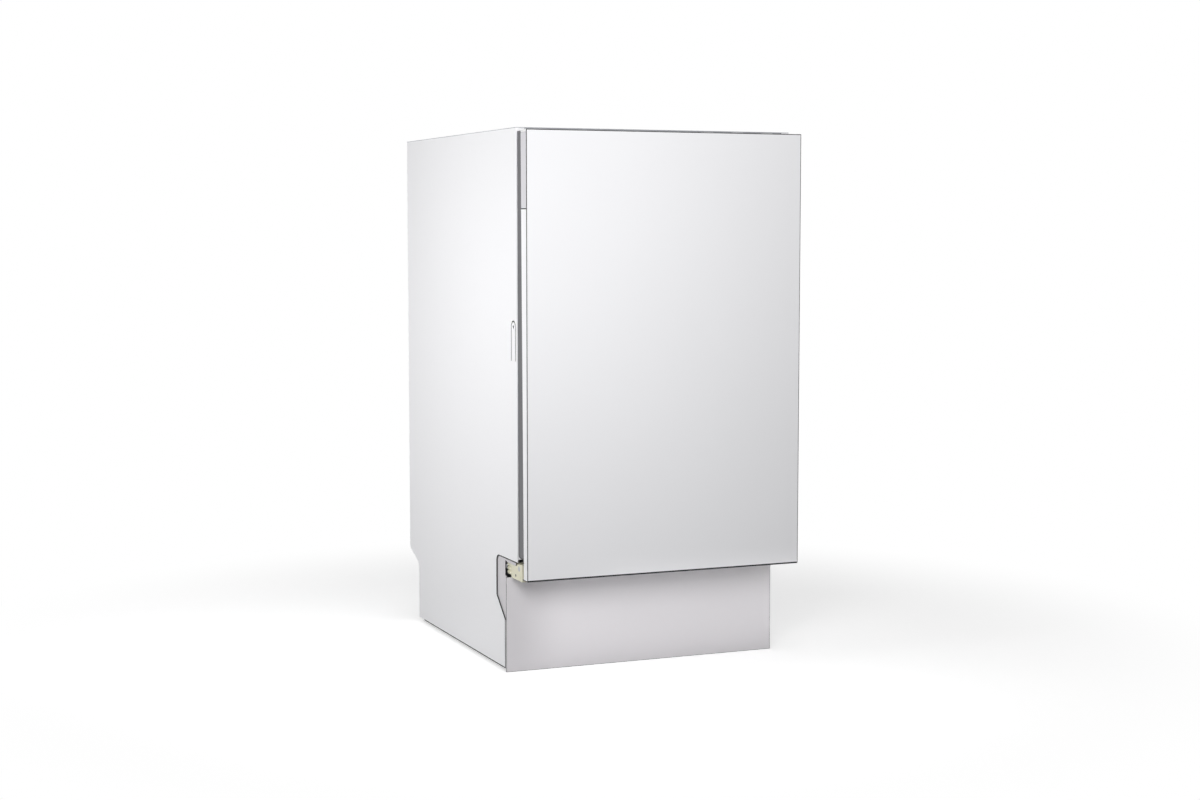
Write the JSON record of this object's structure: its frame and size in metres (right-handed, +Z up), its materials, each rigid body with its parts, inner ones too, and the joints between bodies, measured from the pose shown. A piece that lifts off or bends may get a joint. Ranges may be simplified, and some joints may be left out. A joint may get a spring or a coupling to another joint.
{
  "type": "built-in dishwasher",
  "caption": "Slim built-in dishwasher with a plain white drop-down door, recessed kick plate, top-edge buttons, sliding wire racks and turning spray arms.",
  "frame": {"origin": "on the floor, under the middle of the overall box", "axes": "+Z up, door facing -Y, +X to the right when facing the door"},
  "size_m": [0.448, 0.5794, 0.818],
  "materials": {
    "white_paint": "satin white enamel",
    "galvanised": "zinc-coated sheet",
    "frame_grey": "satin stainless sheet",
    "stainless": "brushed stainless",
    "kick_grey": "matt light grey",
    "housing_grey": "satin light grey",
    "fascia_white": "satin pale",
    "seal_black": "matt",
    "cream_plastic": "plain moulded",
    "base_black": "plain moulded",
    "pump_grey": "plain moulded",
    "clear_white": "plain moulded",
    "spray_grey": "plain moulded",
    "rack_coat": "nylon-coated wire",
    "rail_steel": "rolled stainless",
    "dispenser_white": "plain moulded",
    "board_green": "circuit board"
  },
  "bodies": {
    "cabinet": {"side_panel_left": "white_paint", "side_panel_right": "white_paint", "top_cover": "galvanised", "front_top_rail": "galvanised", "rear_panel": "galvanised", "hinge_bracket_left": "galvanised", "hinge_bracket_right": "galvanised", "door_spring_left": "galvanised", "door_spring_right": "galvanised", "cabinet_screws": "galvanised", "latch_striker": "galvanised", "tub_front_frame": "frame_grey", "tub": "stainless", "filter_plate": "stainless", "kick_plate": "kick_grey", "door_seal": "seal_black", "hinge_bearing_left": "cream_plastic", "hinge_bearing_right": "cream_plastic", "base_tray": "base_black", "sump": "base_black", "mains_inlet": "base_black", "drain_outlet": "base_black", "circulation_pump": "pump_grey", "drain_pump": "pump_grey", "water_softener": "clear_white", "water_jacket": "clear_white", "inlet_valve": "clear_white", "spray_feed_pipe": "spray_grey", "rack_rail_left": "rail_steel", "rack_rail_right": "rail_steel"},
    "door": {"door_front_panel": "white_paint", "door_liner": "stainless", "control_housing": "housing_grey", "control_fascia": "fascia_white", "control_board": "board_green", "detergent_dispenser": "dispenser_white", "door_latch": "base_black", "hinge_arm_left": "galvanised", "hinge_arm_right": "galvanised", "bottom_seal": "seal_black"},
    "upper_rack": {"upper_rack": "rack_coat"},
    "lower_rack": {"lower_rack": "rack_coat", "cutlery_basket": "spray_grey"},
    "detergent_lid": {"detergent_lid": "dispenser_white"},
    "rinse_aid_cap": {"rinse_aid_cap": "dispenser_white"},
    "power_button": {"power_button": "fascia_white"},
    "program_button": {"program_button": "fascia_white"},
    "start_button": {"start_button": "fascia_white"},
    "lower_spray_arm": {"lower_spray_arm": "spray_grey"},
    "upper_spray_arm": {"upper_spray_arm": "spray_grey"},
    "cup_shelf": {"cup_shelf": "spray_grey"},
    "filter_cylinder": {"filter_cylinder": "spray_grey"},
    "salt_cap": {"salt_cap": "clear_white"},
    "front_foot_left": {"front_foot_left": "base_black"},
    "front_foot_right": {"front_foot_right": "base_black"},
    "rear_foot": {"rear_foot": "base_black"},
    "rack_wheel_front_left": {"rack_wheel_front_left": "spray_grey"},
    "rack_wheel_front_right": {"rack_wheel_front_right": "spray_grey"},
    "rack_wheel_rear_left": {"rack_wheel_rear_left": "spray_grey"},
    "rack_wheel_rear_right": {"rack_wheel_rear_right": "spray_grey"}
  },
  "joints": [
    {"name": "door_hinge", "type": "hinge", "parent": "cabinet", "child": "door", "pos_m": [0, -0.2463, 0.166], "axis": [1, 0, 0], "range_deg": [0, 90], "stiffness_Nm_per_rad": 13},
    {"name": "upper_rack_slide", "type": "slide", "parent": "cabinet", "child": "upper_rack", "axis": [0, -1, 0], "range_m": [0, 0.3466]},
    {"name": "lower_rack_slide", "type": "slide", "parent": "cabinet", "child": "lower_rack", "axis": [0, -1, 0], "range_m": [0, 0.1581]},
    {"name": "cup_shelf_fold", "type": "hinge", "parent": "upper_rack", "child": "cup_shelf", "pos_m": [-0.167, -0.0103, 0.585], "axis": [0, -1, 0], "range_deg": [0, 88]},
    {"name": "upper_spray_spin", "type": "hinge", "parent": "upper_rack", "child": "upper_spray_arm", "pos_m": [0, -0.0103, 0.466], "axis": [0, 0, 1], "continuous": true},
    {"name": "lower_spray_spin", "type": "hinge", "parent": "cabinet", "child": "lower_spray_arm", "pos_m": [0, -0.0103, 0.208], "axis": [0, 0, 1], "continuous": true},
    {"name": "detergent_lid_slide", "type": "slide", "parent": "door", "child": "detergent_lid", "axis": [0, 0.0127, 0.9999], "range_m": [0, 0.066]},
    {"name": "rinse_cap_turn", "type": "hinge", "parent": "door", "child": "rinse_aid_cap", "pos_m": [0.05, -0.26612, 0.51], "axis": [0, 1, 0], "range_deg": [0, 90]},
    {"name": "filter_turn", "type": "hinge", "parent": "cabinet", "child": "filter_cylinder", "pos_m": [0.085, -0.0803, 0.192], "axis": [0, 0, 1], "range_deg": [0, 90]},
    {"name": "salt_cap_turn", "type": "hinge", "parent": "cabinet", "child": "salt_cap", "pos_m": [-0.14, -0.0753, 0.192], "axis": [0, 0, 1], "range_deg": [0, 120]},
    {"name": "power_button_press", "type": "slide", "parent": "door", "child": "power_button", "axis": [0, 0, -1], "range_m": [0, 0.0015], "stiffness_N_per_m": 400, "springref_m": -0.001},
    {"name": "program_button_press", "type": "slide", "parent": "door", "child": "program_button", "axis": [0, 0, -1], "range_m": [0, 0.0015], "stiffness_N_per_m": 400, "springref_m": -0.001},
    {"name": "start_button_press", "type": "slide", "parent": "door", "child": "start_button", "axis": [0, 0, -1], "range_m": [0, 0.0015], "stiffness_N_per_m": 400, "springref_m": -0.001},
    {"name": "front_foot_left_screw", "type": "slide", "parent": "cabinet", "child": "front_foot_left", "axis": [0, 0, -1], "range_m": [0, 0.05]},
    {"name": "front_foot_right_screw", "type": "slide", "parent": "cabinet", "child": "front_foot_right", "axis": [0, 0, -1], "range_m": [0, 0.05]},
    {"name": "rear_foot_screw", "type": "slide", "parent": "cabinet", "child": "rear_foot", "axis": [0, 0, -1], "range_m": [0, 0.05]},
    {"name": "rack_wheel_front_left_roll", "type": "hinge", "parent": "lower_rack", "child": "rack_wheel_front_left", "pos_m": [-0.171, -0.1653, 0.2073], "axis": [1, 0, 0], "continuous": true},
    {"name": "rack_wheel_front_right_roll", "type": "hinge", "parent": "lower_rack", "child": "rack_wheel_front_right", "pos_m": [0.171, -0.1653, 0.2073], "axis": [1, 0, 0], "continuous": true},
    {"name": "rack_wheel_rear_left_roll", "type": "hinge", "parent": "lower_rack", "child": "rack_wheel_rear_left", "pos_m": [-0.171, 0.1527, 0.2073], "axis": [1, 0, 0], "continuous": true},
    {"name": "rack_wheel_rear_right_roll", "type": "hinge", "parent": "lower_rack", "child": "rack_wheel_rear_right", "pos_m": [0.171, 0.1527, 0.2073], "axis": [1, 0, 0], "continuous": true}
  ],
  "couplings": [
    {"joint": "upper_rack_slide", "follows": "door_hinge", "m_per_rad": 0.22},
    {"joint": "lower_rack_slide", "follows": "door_hinge", "m_per_rad": 0.1},
    {"joint": "rack_wheel_front_left_roll", "follows": "door_hinge", "ratio": 6.6667},
    {"joint": "rack_wheel_front_right_roll", "follows": "door_hinge", "ratio": 6.6667},
    {"joint": "rack_wheel_rear_left_roll", "follows": "door_hinge", "ratio": 6.6667},
    {"joint": "rack_wheel_rear_right_roll", "follows": "door_hinge", "ratio": 6.6667}
  ]
}
